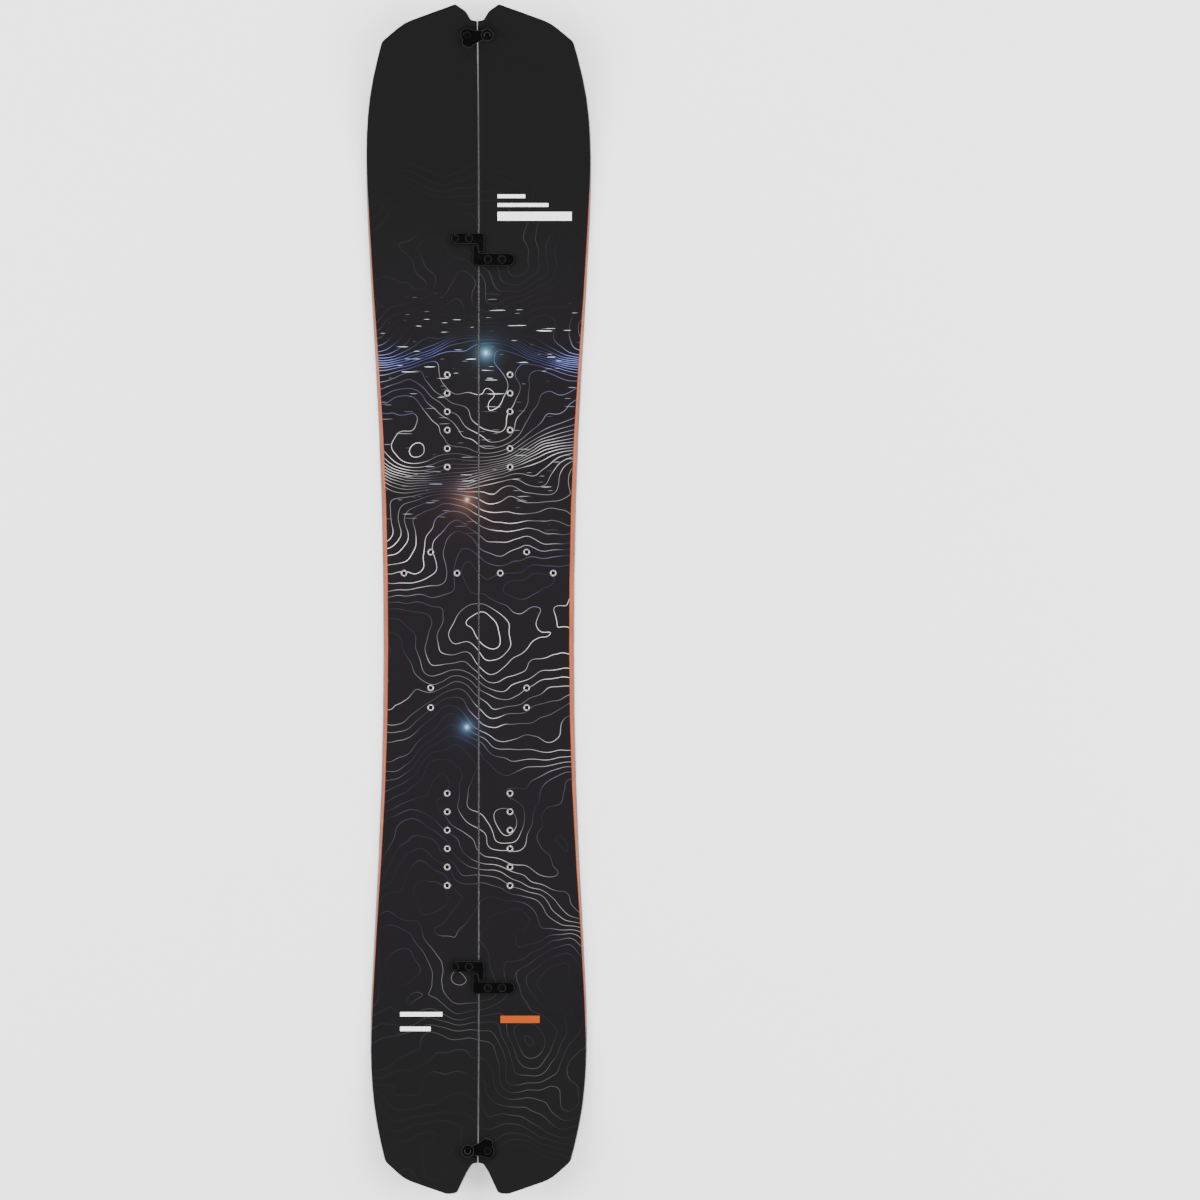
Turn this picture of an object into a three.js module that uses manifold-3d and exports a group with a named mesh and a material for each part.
// A directional splitboard: a snowboard in two halves, joined by hooks over the seam and by a
// swivelling clip at the nose and at the tail.
// Millimetres. +X to the right half, +Y to the nose, +Z out of the topsheet. The origin is at the
// board's middle, on the surface that it lies on.
import * as THREE from "three";
import { mergeVertices } from "three/addons/utils/BufferGeometryUtils.js";
import Module from "manifold-3d";

const wasm = await Module();
wasm.setup();

// Board
const BOARD_LENGTH = 1620;
const NOSE_HALF_WIDTH = 155;
const WAIST_HALF_WIDTH = 131.5;
const TAIL_HALF_WIDTH = 149.3;
const WAIST_Y = -60;
const NOSE_TAPER_LENGTH = 212; // from the widest line to the tip
const TAIL_TAPER_LENGTH = 213;
const NOSE_ROCKER_LENGTH = 290; // from where the base leaves the ground to the tip
const TAIL_ROCKER_LENGTH = 260;
const NOSE_RISE = 62;
const TAIL_RISE = 48;
const SEAM_HALF_GAP = 0.2;

// Layers, from the base up
const GLUE_LINE = 0.2; // gap between neighbouring layers and pieces
const FIT = 0.3; // gap beside a piece let into another
const BASE_THICKNESS = 1.4;
const LAMINATE_THICKNESS = 0.7;
const CORE_THICKNESS = 5.6;
const CORE_TIP_THICKNESS = 2.4;
const TOPSHEET_THICKNESS = 0.8;
const CORE_PAST_CONTACT = 75; // how far core and sidewalls run up the nose and tail

// Edges, sidewalls and guards
const OUTER_EDGE_WIDTH = 2.2;
const INNER_EDGE_WIDTH = 2.45;
const EDGE_HEIGHT = 2.3;
const SIDEWALL_WIDTH = 9;
const SIDEWALL_SETBACK = 1.6; // bare edge steel outside the sidewall
const SIDEWALL_BEVEL = 4.6; // at the waist
const SIDEWALL_BEVEL_END = 0.6; // where the bevel has run out
const BEVEL_RUN = 520; // from the middle to where the bevel has run out
const INNER_SIDEWALL_WIDTH = 5;
const INNER_SIDEWALL_SETBACK = 1;
const TIP_SETBACK = 2.4; // layers behind the outline at the notches
const TIP_SHEET_SETBACK = 1.3; // topsheet from the outline past the sidewalls
const SHEET_SETBACK = 1; // topsheet and upper laminate from the outline at the seam
const SPACER_SETBACK = 1.8; // tip spacers from the outline at the outer side
const GUARD_HALF_WIDTH = 19.6;
const GUARD_DEPTH = 23.2; // behind the notch
const GUARD_CORNER_RADIUS = 6;
const GUARD_ARM_END = 50; // from the seam
const STEP_SLOPE = 0.5; // a boundary that runs straight across the board drops this much

// How far the side's curves run on before they bend. At the widest lines, away from the waist
const END_HANDLE = 75;
const NOSE_CORNER_HANDLE = [17, -55];
const TAIL_CORNER_HANDLE = [16, 55];
// as shares of the run from the waist to the widest line
const NOSE_HANDLE = 0.23;
const WAIST_FRONT_HANDLE = 0.52;
const WAIST_REAR_HANDLE = 0.53;
const TAIL_HANDLE = 0.2;
const CORNER_MARGIN = 18; // the side's sections keep this far from the corners

// Outline of each end: distance from the seam, distance behind the tip, corner radius
const NOSE_END = {
  corner: [NOSE_HALF_WIDTH - 24, 48, 14],
  bend: [NOSE_HALF_WIDTH - 55, 24, 60],
  peak: [29.5, 0, 5],
  side: [[15, 9.5, 14]],
  foot: [8, 21, 5],
  notchDepth: 21.5,
  clipSetback: 17.5, // from the notch to the clip's bolts
  // inner boundary of the guard's arm: distance from the seam, distance out from the notch
  arm: [[19.6, 1.5], [24.5, 10.5], [32, 13.6]],
};
const TAIL_END = {
  corner: [TAIL_HALF_WIDTH - 22.3, 42, 14],
  bend: [TAIL_HALF_WIDTH - 49.3, 19, 60],
  peak: [42, 0, 12],
  side: [[28, 0.8, 8], [15, 27, 20]],
  foot: [7, 39.4, 5],
  notchDepth: 40,
  clipSetback: 15.5,
  arm: [[19.6, 4], [24, 13], [33, 31], [39, 35]],
};

// Inserts
const INSERT_RADIUS = 4.35;
const INSERT_BORE_RADIUS = 2.9;
const INSERT_BORE_DEPTH = 5;
const INSERT_PITCH = 25.4;
const INSERT_COLUMN_X = 43.2;
const INSERTS_PER_COLUMN = 6;
const FRONT_INSERT_START = 183;
const REAR_INSERT_START = -393;
const TOURING_INSERTS = [[29.7, 37], [66, 66], [102.7, 37], [66, -121], [66, -148]];
const BACKING_WIDTH = 10; // strip that joins a group of inserts inside the core
const BACKING_THICKNESS = 0.8;

// Hooks
const FRONT_HOOK_SETBACK = 37.5; // from where the nose leaves the ground to the pair's middle
const REAR_HOOK_SETBACK = 31.5;
const HOOK_THICKNESS = 5;
const HOOK_BAR_OFFSET = 14.5; // from the pair's middle to each bar's middle
const LEFT_BAR = { end: -40, halfWidth: 7.25, finger: 7.6, fingerLength: 11.4 };
const RIGHT_BAR = { end: 49.4, halfWidth: 8.3, finger: -7.7, fingerLength: 11.5 };
const FINGER_GAP = 0.5;
const FINGER_FACE_X = -0.3; // where the mating faces cross the pair's middle
const SLIDE_ANGLE = THREE.MathUtils.degToRad(12); // of the mating faces to the seam
const HOOK_SCREWS_X = [13, 32.3];
const SCREW_RADIUS = 2.5;
const SCREW_HEAD_RADIUS = 4.6;
const SCREW_HEAD_HEIGHT = 2.1;
const NUT_FLANGE_RADIUS = 6.4;
const NUT_FLANGE_HEIGHT = 1.1;
const NUT_BARREL_RADIUS = 4;
const NUT_BORE_RADIUS = 2.8;
const NUT_WEB = { width: 3, low: 3, high: 4 };

// Clips
const CLIP_BOLT_X = 13.6;
const LEVER_LIFT = 3.8; // from the topsheet to the underside of the lever
const LEVER_THICKNESS = 4.2;
const LEVER_LOBE_RADIUS = 8.9;
const LOBE_START = THREE.MathUtils.degToRad(69); // the round stretch of the lobe's outline
const LOBE_END = THREE.MathUtils.degToRad(223);
const LEVER_BOSS_RADIUS = 8;
const LEVER_HOOK_RADIUS = 8.3;
const LEVER_LIP_HEIGHT = 2.2;
const PIVOT_RADIUS = 3.1;
const PIVOT_HEAD_RADIUS = 5;
const POST_NECK_RADIUS = 3.2;
const POST_CAP_RADIUS = 8.5;
const POST_FOOT_RADIUS = 5.5;
const POST_FOOT_HEIGHT = 1;
const HEAD_HEIGHT = 2.2;
const HEAD_CHAMFER = 0.6;
const CAP_CHAMFER = 0.9;
const SOCKET_RADIUS = 2; // in screws and bolts
const SOCKET_DEPTH = 1.4;
const CAP_DISH = { rim: 4.2, floor: 3.4, depth: 0.7 };
const BOLT_TIP = -6; // below the topsheet
const HEAD_SINK = 0.15; // a nut's flange stays this much inside the base
const POST_CLEARANCE = 0.8;
const CLIP_NUT_FLANGE_RADIUS = 4.2;
const CLIP_NUT_BARREL_RADIUS = 3.7;
const CLIP_NUT_TOP = -3.4; // below the topsheet

// Oval nuts in the nose guard
const OVAL_NUT = { x: 9.4, setback: 4.8, halfLength: 6, halfWidth: 3.6 };

const THROUGH = 5; // how far a cutter runs past what it cuts

// Facets
const ROCKER_STEP = 25;
const FLAT_STEPS = 11;
const CORNER_STEP = THREE.MathUtils.degToRad(10);
const HIDDEN_SIDES = 8;
const SCREW_SIDES = 10;
const PIVOT_SIDES = 14;
const LEAST_STATION = 1.5; // sections of a layer are no closer than this
const LEAST_STEP = 0.3; // or this, where its boundary runs across the board

const MATERIALS = {
  topsheet: [0x242325, 0.55, 0],
  base: [0x18181a, 0.35, 0],
  laminate: [0xc9c6a8, 0.6, 0],
  wood: [0xc9a470, 0.7, 0],
  sidewall: [0xdd6a34, 0.5, 0],
  inner_sidewall: [0x2c2c2e, 0.6, 0],
  spacer: [0x1d1d1f, 0.6, 0],
  steel: [0x8b8d90, 0.35, 1],
  guard: [0xb4b5b6, 0.4, 1],
  insert: [0xc2c2c2, 0.3, 1],
  hook: [0x121214, 0.4, 0.6],
  screw: [0x2b2b2d, 0.35, 1],
  lever: [0x1a1a1c, 0.45, 0.5],
  brass: [0xcdb877, 0.35, 1],
};

const halfLength = BOARD_LENGTH / 2;
const noseContactY = halfLength - NOSE_ROCKER_LENGTH;
const tailContactY = TAIL_ROCKER_LENGTH - halfLength;
const frontHookY = noseContactY - FRONT_HOOK_SETBACK;
const rearHookY = tailContactY + REAR_HOOK_SETBACK;
const coreStartY = tailContactY - CORE_PAST_CONTACT;
const coreEndY = noseContactY + CORE_PAST_CONTACT;
const coreLow = BASE_THICKNESS + LAMINATE_THICKNESS + 2 * GLUE_LINE;

// ---------- heights along the board ----------

function rocker(y) {
  if (y > noseContactY) {
    return NOSE_RISE * ((y - noseContactY) / NOSE_ROCKER_LENGTH) ** 2;
  }
  if (y < tailContactY) {
    return TAIL_RISE * ((tailContactY - y) / TAIL_ROCKER_LENGTH) ** 2;
  }
  return 0;
}

function coreThickness(y) {
  const intoNose = (y - noseContactY) / NOSE_ROCKER_LENGTH;
  const intoTail = (tailContactY - y) / TAIL_ROCKER_LENGTH;
  const taper = Math.max(0, intoNose, intoTail);
  return CORE_THICKNESS - (CORE_THICKNESS - CORE_TIP_THICKNESS) * taper;
}

// Each layer's underside and top at y.
const levels = {
  base: [() => 0, () => BASE_THICKNESS],
  edge: [() => 0, () => EDGE_HEIGHT],
  lower_laminate: [
    () => BASE_THICKNESS + GLUE_LINE,
    () => BASE_THICKNESS + GLUE_LINE + LAMINATE_THICKNESS,
  ],
  core: [() => coreLow, (y) => coreLow + coreThickness(y)],
  upper_laminate: [
    (y) => coreLow + coreThickness(y) + GLUE_LINE,
    (y) => coreLow + coreThickness(y) + GLUE_LINE + LAMINATE_THICKNESS,
  ],
  topsheet: [
    (y) => coreLow + coreThickness(y) + 2 * GLUE_LINE + LAMINATE_THICKNESS,
    (y) => boardThickness(y),
  ],
};

function boardThickness(y) {
  return coreLow + coreThickness(y) + 2 * GLUE_LINE + LAMINATE_THICKNESS + TOPSHEET_THICKNESS;
}

function surfaceHeight(y) {
  return rocker(y) + boardThickness(y);
}

// ---------- outline ----------

// The outer side of the right half as points of smooth curves, from the tail corner to the nose
// corner.
function sideCurve() {
  const tailWidestY = TAIL_TAPER_LENGTH - halfLength;
  const noseWidestY = halfLength - NOSE_TAPER_LENGTH;
  const tailCorner = new THREE.Vector2(TAIL_END.corner[0], TAIL_END.corner[1] - halfLength);
  const noseCorner = new THREE.Vector2(NOSE_END.corner[0], halfLength - NOSE_END.corner[1]);
  const tailWidest = new THREE.Vector2(TAIL_HALF_WIDTH, tailWidestY);
  const waist = new THREE.Vector2(WAIST_HALF_WIDTH, WAIST_Y);
  const noseWidest = new THREE.Vector2(NOSE_HALF_WIDTH, noseWidestY);
  const along = (point, dx, dy) => new THREE.Vector2(point.x + dx, point.y + dy);
  const rearRun = WAIST_Y - tailWidestY;
  const frontRun = noseWidestY - WAIST_Y;
  const path = new THREE.CurvePath();
  path.add(
    new THREE.CubicBezierCurve(
      tailCorner, along(tailCorner, ...TAIL_CORNER_HANDLE), along(tailWidest, 0, -END_HANDLE),
      tailWidest,
    ),
  );
  path.add(
    new THREE.CubicBezierCurve(
      tailWidest, along(tailWidest, 0, TAIL_HANDLE * rearRun),
      along(waist, 0, -WAIST_REAR_HANDLE * rearRun), waist,
    ),
  );
  path.add(
    new THREE.CubicBezierCurve(
      waist, along(waist, 0, WAIST_FRONT_HANDLE * frontRun),
      along(noseWidest, 0, -NOSE_HANDLE * frontRun), noseWidest,
    ),
  );
  path.add(
    new THREE.CubicBezierCurve(
      noseWidest, along(noseWidest, 0, END_HANDLE), along(noseCorner, ...NOSE_CORNER_HANDLE),
      noseCorner,
    ),
  );
  return path.getPoints(48);
}

function xAt(rail, y) {
  const after = rail.findIndex((point) => point.y >= y);
  if (after <= 0) return rail.at(after).x;
  const a = rail[after - 1];
  const b = rail[after];
  return a.x + ((b.x - a.x) * (y - a.y)) / (b.y - a.y);
}

function evenSteps(from, to, count) {
  return Array.from({ length: count + 1 }, (_, i) => from + ((to - from) * i) / count);
}

// Positions along the board where every long piece has a section: close together where it bends.
function stationsBetween(from, to) {
  const tailSteps = Math.ceil(TAIL_ROCKER_LENGTH / ROCKER_STEP);
  const noseSteps = Math.ceil(NOSE_ROCKER_LENGTH / ROCKER_STEP);
  const all = [
    ...evenSteps(-halfLength, tailContactY, tailSteps),
    ...evenSteps(tailContactY, noseContactY, FLAT_STEPS).slice(1),
    ...evenSteps(noseContactY, halfLength, noseSteps).slice(1),
  ];
  const inside = all.filter((y) => y > from + 1 && y < to - 1);
  return [from, ...inside, to];
}

// Rounds the corners {x, y, r} of an open line.
function filleted(corners) {
  const points = [];
  corners.forEach((corner, i) => {
    const here = new THREE.Vector2(corner.x, corner.y);
    if (!corner.r) {
      points.push(here);
      return;
    }
    const back = new THREE.Vector2(corners[i - 1].x, corners[i - 1].y).sub(here).normalize();
    const on = new THREE.Vector2(corners[i + 1].x, corners[i + 1].y).sub(here).normalize();
    const angle = Math.acos(THREE.MathUtils.clamp(back.dot(on), -1, 1));
    const turn = (Math.PI - angle) * Math.sign(back.cross(on)) * -1;
    const start = here.clone().addScaledVector(back, corner.r / Math.tan(angle / 2));
    const inward = back.clone().add(on).normalize();
    const centre = here.clone().addScaledVector(inward, corner.r / Math.sin(angle / 2));
    const steps = Math.max(2, Math.ceil(Math.abs(turn) / CORNER_STEP));
    for (let k = 0; k <= steps; k++) {
      points.push(start.clone().rotateAround(centre, (turn * k) / steps));
    }
  });
  return points;
}

// Height of the straight stretch between an end's bend and its peak, behind the tip.
function behindTip(end, x) {
  const [bendX, bendBack] = end.bend;
  const [peakX] = end.peak;
  return (bendBack * (x - peakX)) / (bendX - peakX);
}

// Corners of one end, from the outer corner to the seam. sign is 1 at the nose, -1 at the tail.
function endCorners(end, sign) {
  const at = (x, behind, r = 0) => ({ x, y: sign * (halfLength - behind), r });
  return [
    at(...end.corner),
    at(...end.bend),
    at(GUARD_ARM_END + FIT, behindTip(end, GUARD_ARM_END + FIT)),
    at(GUARD_ARM_END, behindTip(end, GUARD_ARM_END)),
    at(...end.peak),
    ...end.side.map((corner) => at(...corner)),
    at(...end.foot),
    at(SEAM_HALF_GAP, end.notchDepth),
  ];
}

// The right half's outline, counter-clockwise from the seam at the tail.
function halfOutline() {
  const side = sideCurve();
  const from = TAIL_END.corner[1] - halfLength + CORNER_MARGIN;
  const to = halfLength - NOSE_END.corner[1] - CORNER_MARGIN;
  const sidePoints = stationsBetween(from, to).map((y) => ({ x: xAt(side, y), y }));
  return filleted([
    ...endCorners(TAIL_END, -1).reverse(),
    ...sidePoints,
    ...endCorners(NOSE_END, 1),
  ]);
}

// Moves each stretch of a counter-clockwise loop inwards by distance(its middle).
function insetLoop(loop, distance) {
  const shifted = (from, to) => {
    const along = to.clone().sub(from).normalize();
    const by = distance(from.clone().add(to).multiplyScalar(0.5));
    const offset = new THREE.Vector2(-along.y, along.x).multiplyScalar(by);
    return { along, offset };
  };
  return loop.map((point, i) => {
    const a = shifted(loop.at(i - 1), point);
    const b = shifted(point, loop[(i + 1) % loop.length]);
    const turn = a.along.cross(b.along);
    if (Math.abs(turn) < 0.3) {
      return point.clone().add(a.offset.add(b.offset).multiplyScalar(0.5));
    }
    const reach = b.offset.clone().sub(a.offset).cross(b.along) / turn;
    return point.clone().add(a.offset).addScaledVector(a.along, reach);
  });
}

const outline = halfOutline();

function bevelAt(y) {
  const run = THREE.MathUtils.smoothstep(Math.abs(y), 0.25 * BEVEL_RUN, BEVEL_RUN);
  return THREE.MathUtils.lerp(SIDEWALL_BEVEL, SIDEWALL_BEVEL_END, run);
}

// Topsheet from the outline at the outer side: inside the bevel, and near the outline at the tips.
function sheetInset(y) {
  const pastContact = Math.max(y - noseContactY, tailContactY - y) / CORE_PAST_CONTACT;
  const beside = SIDEWALL_SETBACK + bevelAt(y) + 3 * FIT;
  const share = THREE.MathUtils.smoothstep(pastContact, 0, 1);
  return THREE.MathUtils.lerp(beside, TIP_SHEET_SETBACK, share);
}

// The loop of one layer: how far it stays inside the outline at the seam, notches and outer side.
function layerLoop(seam, notch, outer) {
  const notchY = halfLength - Math.max(NOSE_END.notchDepth, TAIL_END.notchDepth);
  return insetLoop(outline, (middle) => {
    if (middle.x < 2 * SEAM_HALF_GAP) return seam;
    const nearNotch = middle.x < GUARD_ARM_END && Math.abs(middle.y) > notchY - 1;
    return nearNotch ? notch : outer(middle.y);
  });
}

// ---------- solids ----------

// Closed skin over a row of sections, each with the same number of points.
function skin(sections) {
  const positions = sections.flat(2);
  const count = sections[0].length;
  const indices = [];
  for (let i = 0; i + 1 < sections.length; i++) {
    for (let k = 0; k < count; k++) {
      const a = i * count + k;
      const b = i * count + ((k + 1) % count);
      indices.push(a, b, a + count, b, b + count, a + count);
    }
  }
  const last = (sections.length - 1) * count;
  for (let k = 1; k + 1 < count; k++) {
    indices.push(0, k + 1, k);
    indices.push(last, last + k, last + k + 1);
  }
  const geometry = new THREE.BufferGeometry();
  geometry.setAttribute("position", new THREE.Float32BufferAttribute(positions, 3));
  geometry.setIndex(indices);
  return facingOut(geometry);
}

function facingOut(geometry) {
  const position = geometry.getAttribute("position");
  const index = geometry.index.array;
  const corner = (i) => new THREE.Vector3().fromBufferAttribute(position, index[i]);
  let volume = 0;
  for (let i = 0; i < index.length; i += 3) {
    volume += corner(i).dot(corner(i + 1).cross(corner(i + 2)));
  }
  if (volume < 0) {
    for (let i = 0; i < index.length; i += 3) {
      [index[i + 1], index[i + 2]] = [index[i + 2], index[i + 1]];
    }
  }
  return geometry;
}

function solidOf(geometry) {
  const bare = geometry.clone();
  bare.deleteAttribute("normal");
  bare.deleteAttribute("uv");
  const merged = mergeVertices(bare);
  return new wasm.Manifold(
    new wasm.Mesh({
      numProp: 3,
      vertProperties: new Float32Array(merged.getAttribute("position").array),
      triVerts: new Uint32Array(merged.index.array),
    }),
  );
}

function geometryOf(solid) {
  const mesh = solid.getMesh();
  const geometry = new THREE.BufferGeometry();
  geometry.setAttribute("position", new THREE.BufferAttribute(mesh.vertProperties, 3));
  geometry.setIndex(new THREE.BufferAttribute(mesh.triVerts, 1));
  return geometry;
}

function cut(geometry, cutters) {
  const solid = cutters.reduce((left, tool) => left.subtract(solidOf(tool)), solidOf(geometry));
  return geometryOf(solid);
}

function join(geometries) {
  const [first, ...others] = geometries.map(solidOf);
  return geometryOf(others.reduce((sum, other) => sum.add(other), first));
}

// Solid of revolution about +Z from [radius, height] points.
function turned(profile, sides) {
  const points = profile.map(([radius, height]) => new THREE.Vector2(radius, height));
  return new THREE.LatheGeometry(points, sides).rotateX(Math.PI / 2);
}

function rod(radius, low, high, sides = SCREW_SIDES) {
  return turned([[0, low], [radius, low], [radius, high], [0, high]], sides);
}

function block(width, length, low, high) {
  return new THREE.BoxGeometry(width, length, high - low).translate(0, 0, (low + high) / 2);
}

function extruded(points, low, high, holes = []) {
  const shape = new THREE.Shape(points);
  shape.holes = holes.map((hole) => new THREE.Path(hole));
  const depth = high - low;
  return new THREE.ExtrudeGeometry(shape, { depth, bevelEnabled: false }).translate(0, 0, low);
}

function bent(geometry) {
  const position = geometry.getAttribute("position");
  for (let i = 0; i < position.count; i++) {
    position.setZ(i, position.getZ(i) + rocker(position.getY(i)));
  }
  return geometry;
}

// A loop's outer side and seam side, each from the tail to the nose.
function railsOf(loop) {
  const ys = loop.map((point) => point.y);
  const top = ys.indexOf(Math.max(...ys));
  const bottom = ys.indexOf(Math.min(...ys));
  const turnedLoop = [...loop.slice(bottom), ...loop.slice(0, bottom)];
  const topAt = (top - bottom + loop.length) % loop.length;
  return {
    outer: turnedLoop.slice(0, topAt + 1),
    inner: [...turnedLoop.slice(topAt), turnedLoop[0]].reverse(),
  };
}

// A layer with the given loop, between from and to along the board.
function layer(loop, [low, high], [from, to] = [-Infinity, Infinity], least = LEAST_STATION) {
  const { outer, inner } = railsOf(loop);
  const first = Math.max(from, outer[0].y + LEAST_STEP);
  const last = Math.min(to, outer.at(-1).y - LEAST_STEP);
  const wanted = [...outer, ...inner].map((point) => point.y).sort((a, b) => a - b);
  const ys = [first];
  for (const y of wanted) {
    if (y > ys.at(-1) + least && y < last - least) ys.push(y);
  }
  ys.push(last);
  return skin(ys.map((y) => {
    const x0 = xAt(inner, y);
    const x1 = xAt(outer, y);
    const z0 = rocker(y) + low(y);
    const z1 = rocker(y) + high(y);
    return [[x0, y, z0], [x1, y, z0], [x1, y, z1], [x0, y, z1]];
  }));
}

// A bar along the seam.
function seamBar(x0, x1, from, to, [low, high]) {
  return skin(stationsBetween(from, to).map((y) => {
    const z0 = rocker(y) + low(y);
    const z1 = rocker(y) + high(y);
    return [[x0, y, z0], [x1, y, z0], [x1, y, z1], [x0, y, z1]];
  }));
}

// ---------- places that several pieces share ----------

function notchY(end) {
  return halfLength - end.notchDepth;
}

function clipY(end) {
  return notchY(end) - end.clipSetback;
}

// Turns the clip's own frame to its place: X across, Y towards the tip, Z out of the topsheet.
function clipFrame(end, sign) {
  const y = sign * clipY(end);
  const step = 1;
  const rise = surfaceHeight(y + sign * step) - surfaceHeight(y - sign * step);
  const slope = Math.atan2(rise, 2 * step);
  const frame = new THREE.Matrix4().makeTranslation(0, y, surfaceHeight(y));
  if (sign < 0) frame.multiply(new THREE.Matrix4().makeRotationZ(Math.PI));
  return frame.multiply(new THREE.Matrix4().makeRotationX(slope));
}

const noseClip = clipFrame(NOSE_END, 1);
const tailClip = clipFrame(TAIL_END, -1);

// In the right half's own frame the clip bolt is on the +X side at both ends.
function clipCutters(radius, nutRadius, nutTop) {
  const toCorners = 1 / Math.cos(Math.PI / HIDDEN_SIDES);
  const wide = nutRadius * toCorners;
  const narrow = radius * toCorners;
  const bottom = -2 * boardThickness(0);
  const profile = [
    [0, bottom], [wide, bottom], [wide, nutTop], [narrow, nutTop], [narrow, THROUGH], [0, THROUGH],
  ];
  return [[noseClip, 1], [tailClip, -1]].map(([frame, sign]) =>
    turned(profile, HIDDEN_SIDES).translate(sign * CLIP_BOLT_X, 0, 0).applyMatrix4(frame),
  );
}

function columnOf(start) {
  return Array.from({ length: INSERTS_PER_COLUMN }, (_, i) => [
    INSERT_COLUMN_X,
    start + i * INSERT_PITCH,
  ]);
}

const insertGroups = {
  front_binding_inserts: { spots: columnOf(FRONT_INSERT_START), strips: [[0, 5]] },
  rear_binding_inserts: { spots: columnOf(REAR_INSERT_START), strips: [[0, 5]] },
  touring_inserts: { spots: TOURING_INSERTS, strips: [[0, 1], [2, 1], [1, 4]] },
};

// A straight strip with square ends over the two spots.
function stripBetween([ax, ay], [bx, by], width, low, high) {
  const length = Math.hypot(bx - ax, by - ay) + width;
  return block(length, width, low, high)
    .rotateZ(Math.atan2(by - ay, bx - ax))
    .translate((ax + bx) / 2, (ay + by) / 2, 0);
}

function backingStrips(group, width, low, high) {
  return group.strips.map(([a, b]) =>
    stripBetween(group.spots[a], group.spots[b], width, low, high),
  );
}

const insertSpots = Object.values(insertGroups).flatMap((group) => group.spots);
const topLow = boardThickness(0) - TOPSHEET_THICKNESS;

function barMiddle(hookY, side) {
  return hookY + (side === "left" ? HOOK_BAR_OFFSET : -HOOK_BAR_OFFSET);
}

function hookSpots(side) {
  return [frontHookY, rearHookY].flatMap((hookY) =>
    HOOK_SCREWS_X.map((x) => [x, barMiddle(hookY, side)]),
  );
}

// Holes that clear the radius on their flats.
function holesAt(spots, radius, low, high, sides = HIDDEN_SIDES) {
  const toCorners = radius / Math.cos(Math.PI / sides);
  return spots.map(([x, y]) => rod(toCorners, low, high, sides).translate(x, y, 0));
}

// ---------- pieces of one half, built as the right half ----------

function topsheet(side) {
  const loop = layerLoop(SHEET_SETBACK, TIP_SHEET_SETBACK, sheetInset);
  const sheet = layer(loop, levels.topsheet);
  const through = [topLow - THROUGH, topLow + THROUGH];
  return cut(sheet, [
    ...insertSpots.map(([x, y]) => {
      return rod(INSERT_RADIUS + GLUE_LINE, ...through, HIDDEN_SIDES).translate(x, y, 0);
    }),
    ...holesAt(hookSpots(side), SCREW_RADIUS + FIT, ...through),
    ...clipCutters(PIVOT_RADIUS + FIT, CLIP_NUT_BARREL_RADIUS + FIT, CLIP_NUT_TOP + FIT),
  ]);
}

// Slots for the insert groups and holes for the nuts, shared by core and upper laminate.
function insideCutters(side) {
  const low = -THROUGH;
  const high = topLow + THROUGH;
  const slots = Object.values(insertGroups).flatMap((group) =>
    backingStrips(group, BACKING_WIDTH + 2 * FIT, low, high),
  );
  return [...slots, ...holesAt(hookSpots(side), NUT_BARREL_RADIUS + FIT, low, high)];
}

function upperLaminate(side) {
  const loop = layerLoop(SHEET_SETBACK, TIP_SHEET_SETBACK + FIT, (y) => sheetInset(y) + FIT);
  const sheet = layer(loop, levels.upper_laminate);
  return cut(sheet, [
    ...insideCutters(side),
    ...clipCutters(PIVOT_RADIUS + FIT, CLIP_NUT_BARREL_RADIUS + FIT, CLIP_NUT_TOP + FIT),
  ]);
}

function core(side) {
  const seam = INNER_SIDEWALL_SETBACK + INNER_SIDEWALL_WIDTH + FIT - SEAM_HALF_GAP;
  const outer = () => SIDEWALL_SETBACK + SIDEWALL_WIDTH + FIT;
  const planks = layer(layerLoop(seam, TIP_SETBACK, outer), levels.core, [coreStartY, coreEndY]);
  const webSlots = [frontHookY, rearHookY].map((hookY) => {
    const y = barMiddle(hookY, side);
    const ends = HOOK_SCREWS_X.map((x) => [x, y]);
    return stripBetween(...ends, NUT_WEB.width + 2 * FIT, -THROUGH, NUT_WEB.high + FIT);
  });
  return cut(planks, [...insideCutters(side), ...webSlots]);
}

function tipSpacer(sign) {
  const seam = INNER_SIDEWALL_SETBACK - SEAM_HALF_GAP;
  const loop = layerLoop(seam, TIP_SETBACK, () => SPACER_SETBACK);
  const range = sign > 0 ? [coreEndY + FIT, Infinity] : [-Infinity, coreStartY - FIT];
  const filler = layer(loop, levels.core, range);
  return cut(
    filler,
    clipCutters(PIVOT_RADIUS + FIT, CLIP_NUT_BARREL_RADIUS + FIT, CLIP_NUT_TOP + FIT),
  );
}

function lowerLaminate(side) {
  const seam = INNER_EDGE_WIDTH + FIT;
  const sheet = layer(
    layerLoop(seam, TIP_SETBACK + FIT, () => OUTER_EDGE_WIDTH + FIT),
    levels.lower_laminate,
  );
  return cut(sheet, [
    ...holesAt(hookSpots(side), NUT_BARREL_RADIUS + FIT, -THROUGH, THROUGH),
    ...clipCutters(PIVOT_RADIUS + FIT, CLIP_NUT_BARREL_RADIUS + FIT, CLIP_NUT_TOP + FIT),
  ]);
}

// Inner boundary of a guard, from the seam to the end of its arm, moved outwards by gap.
function guardBoundary(end, sign, gap) {
  const at = (x, out, r = 0) => ({ x, y: sign * (notchY(end) + out), r });
  const across = GUARD_HALF_WIDTH + gap;
  return [
    at(across, -GUARD_DEPTH - gap, GUARD_CORNER_RADIUS + gap),
    ...end.arm.map(([x, out]) => at(x + gap, out - gap)),
  ];
}

const atArmEnd = (x, sign) => outline.findIndex((p) => p.x === x && Math.sign(p.y) === sign);

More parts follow.
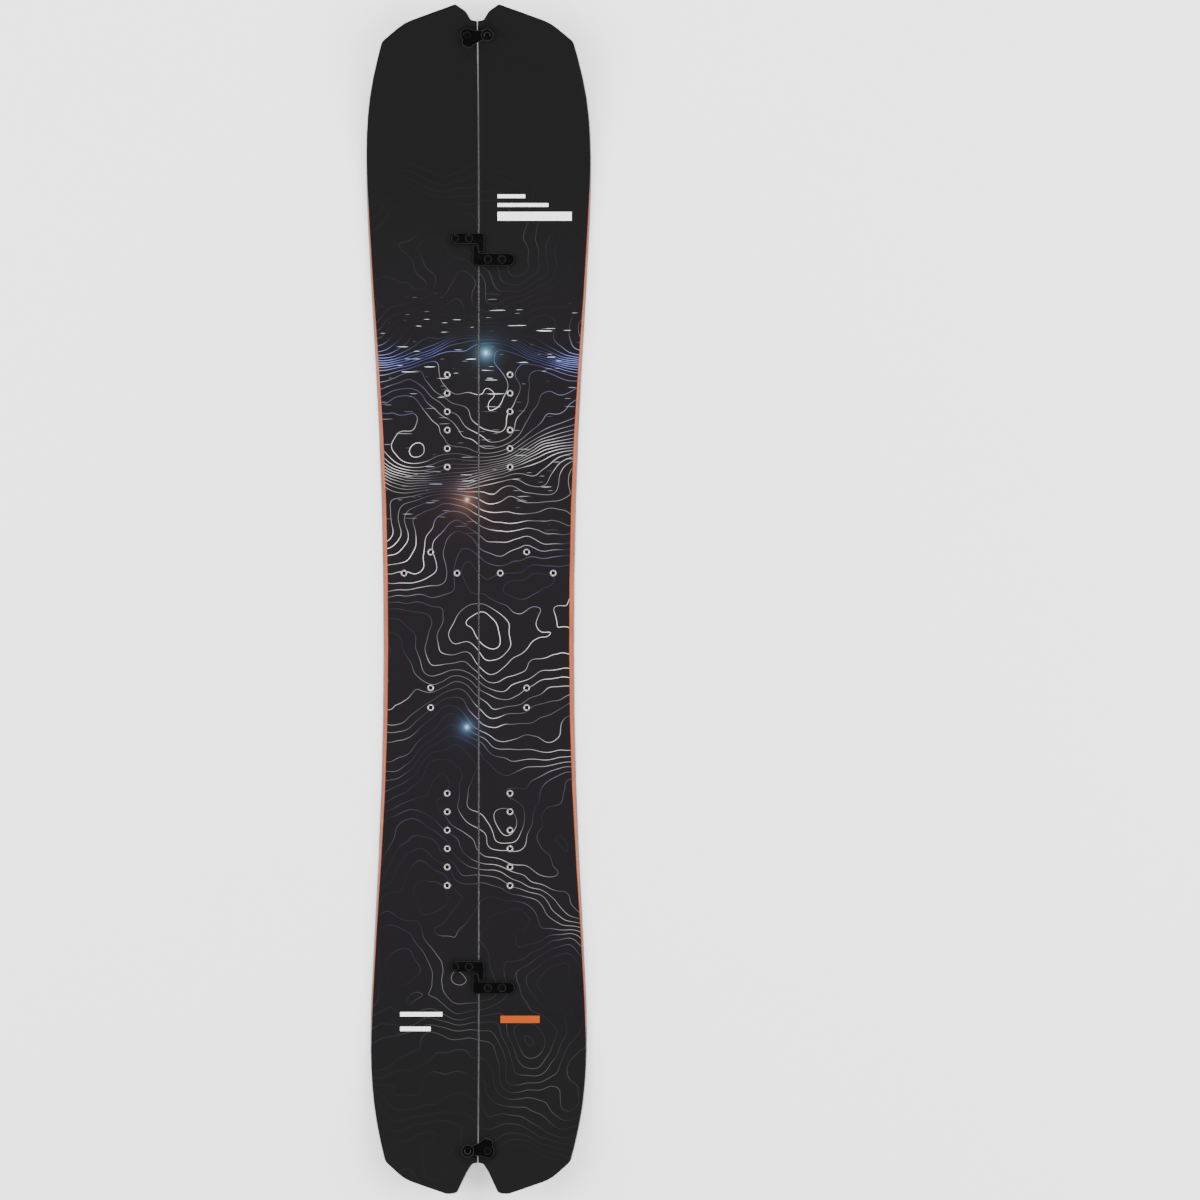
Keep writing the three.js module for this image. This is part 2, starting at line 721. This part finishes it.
// Base sheet: inside the steel edges and round the guards.
function base(side) {
  const inset = OUTER_EDGE_WIDTH + FIT;
  const loop = layerLoop(0, inset, () => inset);
  const seamX = SEAM_HALF_GAP + INNER_EDGE_WIDTH + FIT;
  const sideStretch = loop.slice(
    atArmEnd(GUARD_ARM_END + FIT, -1),
    atArmEnd(GUARD_ARM_END + FIT, 1) + 1,
  );
  const seamCorner = (end, sign) => ({
    x: seamX,
    y: sign * (notchY(end) - GUARD_DEPTH - FIT - STEP_SLOPE),
  });
  const sheetLoop = filleted([
    seamCorner(TAIL_END, -1),
    ...guardBoundary(TAIL_END, -1, FIT),
    ...sideStretch,
    ...guardBoundary(NOSE_END, 1, FIT).reverse(),
    seamCorner(NOSE_END, 1),
  ]);
  return cut(
    layer(sheetLoop, levels.base, [-Infinity, Infinity], LEAST_STEP),
    holesAt(hookSpots(side), NUT_FLANGE_RADIUS + GLUE_LINE, -THROUGH, THROUGH, SCREW_SIDES),
  );
}

function outerSidewall() {
  const loops = layerLoop(0, 0, () => 0);
  const { outer } = railsOf(loops);
  const [low, high] = levels.core;
  return skin(stationsBetween(coreStartY, coreEndY).map((y) => {
    const edge = xAt(outer, y) - SIDEWALL_SETBACK;
    const z0 = rocker(y) + low(y);
    const z1 = rocker(y) + high(y);
    const inside = edge - SIDEWALL_WIDTH;
    return [[inside, y, z0], [edge, y, z0], [edge - bevelAt(y), y, z1], [inside, y, z1]];
  }));
}

function innerSidewall() {
  const x0 = INNER_SIDEWALL_SETBACK;
  return seamBar(x0, x0 + INNER_SIDEWALL_WIDTH, coreStartY, coreEndY, levels.core);
}

function innerEdge() {
  const from = GUARD_DEPTH + FIT - notchY(TAIL_END);
  const to = notchY(NOSE_END) - GUARD_DEPTH - FIT;
  return seamBar(SEAM_HALF_GAP, SEAM_HALF_GAP + INNER_EDGE_WIDTH, from, to, levels.edge);
}

// Steel strip round the outline, from arm to arm of the guards.
function outerEdge() {
  const inner = insetLoop(outline, () => OUTER_EDGE_WIDTH);
  const from = atArmEnd(GUARD_ARM_END + FIT, -1);
  const to = atArmEnd(GUARD_ARM_END + FIT, 1);
  const sections = [];
  for (let i = from; i <= to; i++) {
    const a = inner[i];
    const b = outline[i];
    sections.push([
      [a.x, a.y, rocker(a.y)],
      [b.x, b.y, rocker(b.y)],
      [b.x, b.y, rocker(b.y) + EDGE_HEIGHT],
      [a.x, a.y, rocker(a.y) + EDGE_HEIGHT],
    ]);
  }
  return skin(sections);
}

function ovalOutline(grow) {
  const ellipse = new THREE.EllipseCurve(
    OVAL_NUT.x, notchY(NOSE_END) - OVAL_NUT.setback,
    OVAL_NUT.halfLength + grow, OVAL_NUT.halfWidth + grow,
  );
  return ellipse.getPoints(14).slice(0, -1);
}

// Steel plate round a notch, flush with the base.
function guard(end, sign) {
  const inner = insetLoop(outline, () => OUTER_EDGE_WIDTH);
  const armEnd = atArmEnd(GUARD_ARM_END, sign);
  const rim = sign > 0 ? outline.slice(armEnd) : outline.slice(0, armEnd + 1).reverse();
  const plateEdge = filleted([
    { x: SEAM_HALF_GAP, y: sign * (notchY(end) - GUARD_DEPTH) },
    ...guardBoundary(end, sign, 0),
    inner[armEnd],
  ]);
  const holes = sign > 0 ? [ovalOutline(GLUE_LINE)] : [];
  const plate = extruded([...rim, ...plateEdge], 0, BASE_THICKNESS, holes);
  const flangeHole = CLIP_NUT_FLANGE_RADIUS + FIT;
  return cut(bent(plate), clipCutters(flangeHole, flangeHole, CLIP_NUT_TOP));
}

function ovalNut() {
  return bent(extruded(ovalOutline(0), 0.1, BASE_THICKNESS - 0.1));
}

// Threaded inserts of one group, joined by a backing strip inside the core.
function inserts(group) {
  const low = coreLow + GLUE_LINE;
  const high = boardThickness(0);
  const sleeves = group.spots.map(([x, y]) =>
    turned(
      [
        [0, low], [INSERT_RADIUS, low], [INSERT_RADIUS, high], [INSERT_BORE_RADIUS, high],
        [INSERT_BORE_RADIUS, high - INSERT_BORE_DEPTH], [0, high - INSERT_BORE_DEPTH],
      ],
      HIDDEN_SIDES,
    ).translate(x, y, 0),
  );
  const strips = backingStrips(group, BACKING_WIDTH, low, low + BACKING_THICKNESS);
  return join([...strips, ...sleeves]);
}

// Two flanged nuts under one hook, joined by a web inside the core.
function hookNuts(y) {
  const top = topLow - LAMINATE_THICKNESS - GLUE_LINE;
  const nuts = HOOK_SCREWS_X.map((x) =>
    turned(
      [
        [NUT_BORE_RADIUS, 0], [NUT_FLANGE_RADIUS, 0], [NUT_FLANGE_RADIUS, NUT_FLANGE_HEIGHT],
        [NUT_BARREL_RADIUS, NUT_FLANGE_HEIGHT], [NUT_BARREL_RADIUS, top],
        [NUT_BORE_RADIUS, top], [NUT_BORE_RADIUS, 0],
      ],
      SCREW_SIDES,
    ).translate(x, y, 0),
  );
  const [near, far] = HOOK_SCREWS_X;
  const reach = (NUT_BARREL_RADIUS + NUT_BORE_RADIUS) / 2;
  const web = block(far - near - 2 * reach, NUT_WEB.width, NUT_WEB.low, NUT_WEB.high);
  return join([...nuts, web.translate((near + far) / 2, y, 0)]);
}

// ---------- hooks and their screws, in the board's frame ----------

const hookLow = boardThickness(0) + GLUE_LINE;

// The two fingers meet on faces that lean by the slide angle.
function fingerFaceX(y, gap) {
  return FINGER_FACE_X + gap / 2 - y * Math.tan(SLIDE_ANGLE);
}

function hookOutline(bar, towards, gap) {
  const barY = HOOK_BAR_OFFSET * towards;
  const outerY = barY + bar.halfWidth * towards;
  const rootY = barY - bar.halfWidth * towards;
  const tipY = rootY - bar.fingerLength * towards;
  const endRadius = bar.halfWidth - 0.5;
  return filleted([
    { x: 0, y: rootY },
    { x: bar.end, y: rootY, r: endRadius },
    { x: bar.end, y: outerY, r: endRadius },
    { x: bar.finger, y: outerY, r: 5 },
    { x: bar.finger, y: tipY, r: 1.6 },
    { x: fingerFaceX(tipY, gap), y: tipY, r: 1 },
    { x: fingerFaceX(rootY, gap), y: rootY },
  ]).slice(1);
}

function hook(bar, towards) {
  const gap = FINGER_GAP * towards;
  const side = Math.sign(bar.end);
  const points = hookOutline(bar, towards, gap);
  const plate = extruded(points, 0, HOOK_THICKNESS);
  const top = HOOK_THICKNESS;
  const rim = SCREW_HEAD_RADIUS + FIT;
  const profile = [
    [0, -1], [SCREW_RADIUS + FIT, -1], [SCREW_RADIUS + FIT, top - SCREW_HEAD_HEIGHT],
    [rim, top], [rim, top + 1], [0, top + 1],
  ];
  const sinks = HOOK_SCREWS_X.map((x) =>
    turned(profile, SCREW_SIDES).translate(side * x, HOOK_BAR_OFFSET * towards, 0),
  );
  return cut(plate, sinks);
}

function hookScrew() {
  const top = HOOK_THICKNESS;
  const tip = 1.5 - hookLow;
  return turned(
    [
      [0, tip], [SCREW_RADIUS, tip], [SCREW_RADIUS, top - SCREW_HEAD_HEIGHT],
      [SCREW_HEAD_RADIUS, top], [SOCKET_RADIUS, top], [SOCKET_RADIUS, top - SOCKET_DEPTH],
      [0, top - SOCKET_DEPTH],
    ],
    SCREW_SIDES,
  );
}

// ---------- clips, each in its own frame ----------

function clipLever() {
  const shape = new THREE.Shape();
  const hookX = CLIP_BOLT_X;
  const slot = POST_NECK_RADIUS + POST_CLEARANCE;
  const lipAngle = Math.asin(LEVER_LIP_HEIGHT / LEVER_HOOK_RADIUS);
  const slotAngle = Math.asin(LEVER_LIP_HEIGHT / slot);
  shape.absarc(-hookX, 0, LEVER_LOBE_RADIUS, LOBE_START, LOBE_END, false);
  shape.lineTo(-20.6, -13);
  shape.quadraticCurveTo(-17, -18.6, -9.5, -18);
  shape.quadraticCurveTo(-4, -12.4, 4, -9.2);
  shape.absarc(hookX, 0, LEVER_HOOK_RADIUS, 4.1, 2 * Math.PI + lipAngle, false);
  shape.absarc(hookX, 0, slot, slotAngle, -Math.PI, true);
  shape.lineTo(hookX - slot, 6.4);
  shape.quadraticCurveTo(
    -1, 4.6,
    LEVER_LOBE_RADIUS * Math.cos(LOBE_START) - hookX, LEVER_LOBE_RADIUS * Math.sin(LOBE_START),
  );
  const points = shape.getPoints(6);
  const low = LEVER_LIFT;
  const high = LEVER_LIFT + LEVER_THICKNESS;
  const plate = extruded(points, low, high);
  const boss = rod(LEVER_BOSS_RADIUS, GLUE_LINE, low + 1, PIVOT_SIDES).translate(-hookX, 0, 0);
  const bore = rod(PIVOT_RADIUS + FIT, -1, high + 1, PIVOT_SIDES).translate(-hookX, 0, 0);
  return cut(join([plate, boss]), [bore]);
}

const headLow = LEVER_LIFT + LEVER_THICKNESS + FIT;

function pivotBolt() {
  const top = headLow + HEAD_HEIGHT;
  return turned(
    [
      [0, BOLT_TIP], [SCREW_RADIUS, BOLT_TIP], [SCREW_RADIUS, GLUE_LINE], [PIVOT_RADIUS, GLUE_LINE],
      [PIVOT_RADIUS, headLow], [PIVOT_HEAD_RADIUS, headLow],
      [PIVOT_HEAD_RADIUS, top - HEAD_CHAMFER], [PIVOT_HEAD_RADIUS - HEAD_CHAMFER, top],
      [SOCKET_RADIUS, top], [SOCKET_RADIUS, top - SOCKET_DEPTH], [0, top - SOCKET_DEPTH],
    ],
    PIVOT_SIDES,
  ).translate(-CLIP_BOLT_X, 0, 0);
}

function hookPost() {
  const top = headLow + HEAD_HEIGHT;
  const foot = GLUE_LINE + POST_FOOT_HEIGHT;
  const dish = top - CAP_DISH.depth;
  return turned(
    [
      [0, BOLT_TIP], [SCREW_RADIUS, BOLT_TIP], [SCREW_RADIUS, GLUE_LINE],
      [POST_FOOT_RADIUS, GLUE_LINE], [POST_FOOT_RADIUS, foot], [POST_NECK_RADIUS, foot],
      [POST_NECK_RADIUS, headLow], [POST_CAP_RADIUS, headLow],
      [POST_CAP_RADIUS, top - CAP_CHAMFER], [POST_CAP_RADIUS - CAP_CHAMFER, top],
      [CAP_DISH.rim, top], [CAP_DISH.floor, dish], [SOCKET_RADIUS, dish],
      [SOCKET_RADIUS, top - SOCKET_DEPTH], [0, top - SOCKET_DEPTH],
    ],
    PIVOT_SIDES,
  ).translate(CLIP_BOLT_X, 0, 0);
}

function clipNut(end, sign, x) {
  const y = sign * clipY(end);
  const contactY = sign > 0 ? noseContactY : tailContactY;
  const slope = Math.atan2(2 * rocker(y), Math.abs(y - contactY));
  const low = HEAD_SINK - boardThickness(y) * Math.cos(slope);
  const bore = SCREW_RADIUS + FIT;
  return turned(
    [
      [bore, low], [CLIP_NUT_FLANGE_RADIUS, low], [CLIP_NUT_FLANGE_RADIUS, low + 1],
      [CLIP_NUT_BARREL_RADIUS, low + 1], [CLIP_NUT_BARREL_RADIUS, CLIP_NUT_TOP],
      [bore, CLIP_NUT_TOP], [bore, low],
    ],
    SCREW_SIDES,
  ).translate(x, 0, 0);
}

// ---------- the board ----------

const board = new THREE.Group();

function part(parent, name, geometry, finish) {
  const [color, roughness, metalness] = MATERIALS[finish];
  const material = new THREE.MeshStandardMaterial({ color, roughness, metalness });
  const mesh = new THREE.Mesh(geometry, material);
  mesh.name = name;
  parent.add(mesh);
  return mesh;
}

function addHalf(side) {
  const half = new THREE.Group();
  if (side === "left") half.scale.x = -1;
  part(half, side + "_topsheet", topsheet(side), "topsheet");
  part(half, side + "_upper_laminate", upperLaminate(side), "laminate");
  part(half, side + "_core", core(side), "wood");
  part(half, side + "_nose_spacer", tipSpacer(1), "spacer");
  part(half, side + "_tail_spacer", tipSpacer(-1), "spacer");
  part(half, side + "_lower_laminate", lowerLaminate(side), "laminate");
  part(half, side + "_base", base(side), "base");
  part(half, side + "_outer_sidewall", outerSidewall(), "sidewall");
  part(half, side + "_inner_sidewall", innerSidewall(), "inner_sidewall");
  part(half, side + "_outer_edge", outerEdge(), "steel");
  part(half, side + "_inner_edge", innerEdge(), "steel");
  part(half, side + "_nose_guard", guard(NOSE_END, 1), "guard");
  part(half, side + "_tail_guard", guard(TAIL_END, -1), "guard");
  part(half, side + "_oval_nut", ovalNut(), "brass");
  for (const [name, group] of Object.entries(insertGroups)) {
    part(half, side + "_" + name, inserts(group), "insert");
  }
  part(half, side + "_front_hook_nuts", hookNuts(barMiddle(frontHookY, side)), "steel");
  part(half, side + "_rear_hook_nuts", hookNuts(barMiddle(rearHookY, side)), "steel");
  board.add(half);
}

function addHookPair(place, hookY) {
  const pair = new THREE.Group();
  pair.position.set(0, hookY, hookLow);
  part(pair, "left_" + place + "_hook", hook(LEFT_BAR, 1), "hook");
  part(pair, "right_" + place + "_hook", hook(RIGHT_BAR, -1), "hook");
  for (const [side, sign] of [["left", -1], ["right", 1]]) {
    HOOK_SCREWS_X.forEach((x, i) => {
      const name = side + "_" + place + "_hook_screw_" + (i + 1);
      const screw = part(pair, name, hookScrew(), "screw");
      screw.position.set(sign * x, -sign * HOOK_BAR_OFFSET, 0);
    });
  }
  board.add(pair);
}

function addClip(place, frame, end, sign) {
  const clip = new THREE.Group();
  frame.decompose(clip.position, clip.quaternion, clip.scale);
  part(clip, place + "_clip_lever", clipLever(), "lever");
  part(clip, place + "_clip_pivot_bolt", pivotBolt(), "screw");
  part(clip, place + "_clip_post", hookPost(), "lever");
  part(clip, place + "_clip_pivot_nut", clipNut(end, sign, -CLIP_BOLT_X), "steel");
  part(clip, place + "_clip_post_nut", clipNut(end, sign, CLIP_BOLT_X), "steel");
  board.add(clip);
}

addHalf("left");
addHalf("right");
addHookPair("front", frontHookY);
addHookPair("rear", rearHookY);
addClip("nose", noseClip, NOSE_END, 1);
addClip("tail", tailClip, TAIL_END, -1);

export default board;
